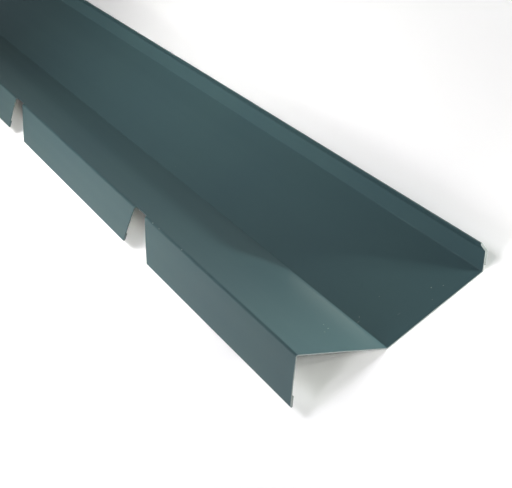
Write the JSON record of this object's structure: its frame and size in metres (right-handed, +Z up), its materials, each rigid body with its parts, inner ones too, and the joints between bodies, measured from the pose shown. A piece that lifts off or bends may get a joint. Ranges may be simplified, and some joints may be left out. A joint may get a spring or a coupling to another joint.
{
  "type": "gutter apron flashing, notched for ribbed roof sheet",
  "caption": "Folded pre-painted steel flashing: notched and hemmed leg, two roof bands, low upstand with a folded-back lip.",
  "frame": {"origin": "under the middle of the stock, at floor level, on the centre of the bounding box's base", "axes": "+X along the length towards the end that the notches are counted from, -Y towards the notched leg, +Y towards the upstand, +Z up with the wide band level"},
  "size_m": [2, 0.1484, 0.0361],
  "materials": {
    "painted_steel": "satin"
  },
  "bodies": {
    "root": {"flashing_sheet": "painted_steel"}
  },
  "joints": []
}
